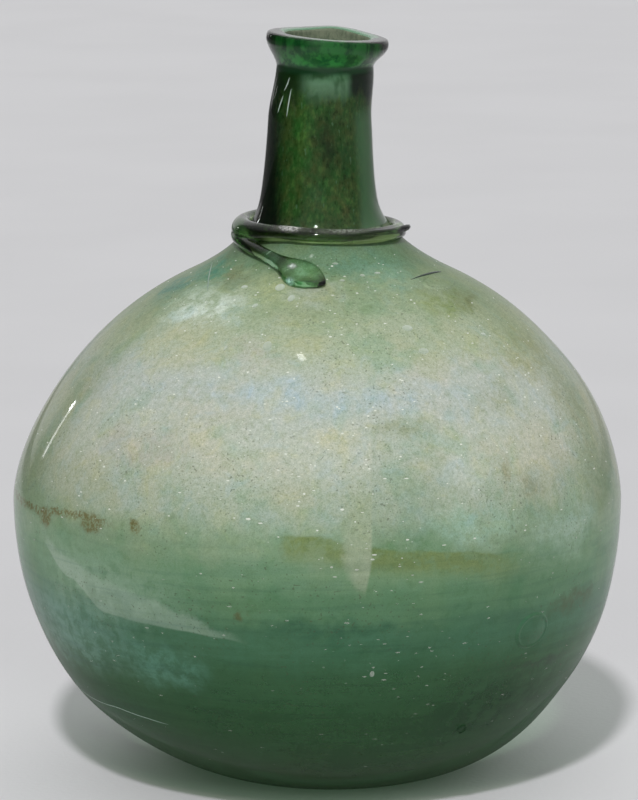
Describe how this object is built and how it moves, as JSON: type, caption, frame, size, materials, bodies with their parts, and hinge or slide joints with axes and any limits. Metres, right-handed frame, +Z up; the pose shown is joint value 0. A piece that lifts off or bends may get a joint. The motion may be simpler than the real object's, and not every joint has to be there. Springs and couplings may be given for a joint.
{
  "type": "ancient glass flask",
  "caption": "Globular free-blown glass flask with a flattened, pushed-up base, a slender neck, a folded flaring lip and an applied trail wound round the root of the neck.",
  "frame": {"origin": "on the surface that the flask stands on, under the middle of its belly (the middle of its bounding box in plan)", "axes": "+Z up the neck; the pictured side faces -Y; the foot, neck and lip stray towards +X"},
  "size_m": [0.1626, 0.1626, 0.1986],
  "materials": {
    "body_glass": "thin translucent green glass, glossy outside, weathered to a pale iridescent haze on its upper half, with many seeds and a few blisters",
    "trail_glass": "clear darker green glass, fire-polished",
    "scar_glass": "rough torn green glass",
    "neck_crust": "thin patchy olive-brown burial crust, matt",
    "brown_crust": "thin crumbly brown burial crust, matt"
  },
  "bodies": {
    "root": {"vessel": "body_glass", "neck_trail": "trail_glass", "pontil_scar": "scar_glass", "neck_deposit": "neck_crust", "tide_line_deposit": "brown_crust"}
  },
  "joints": []
}
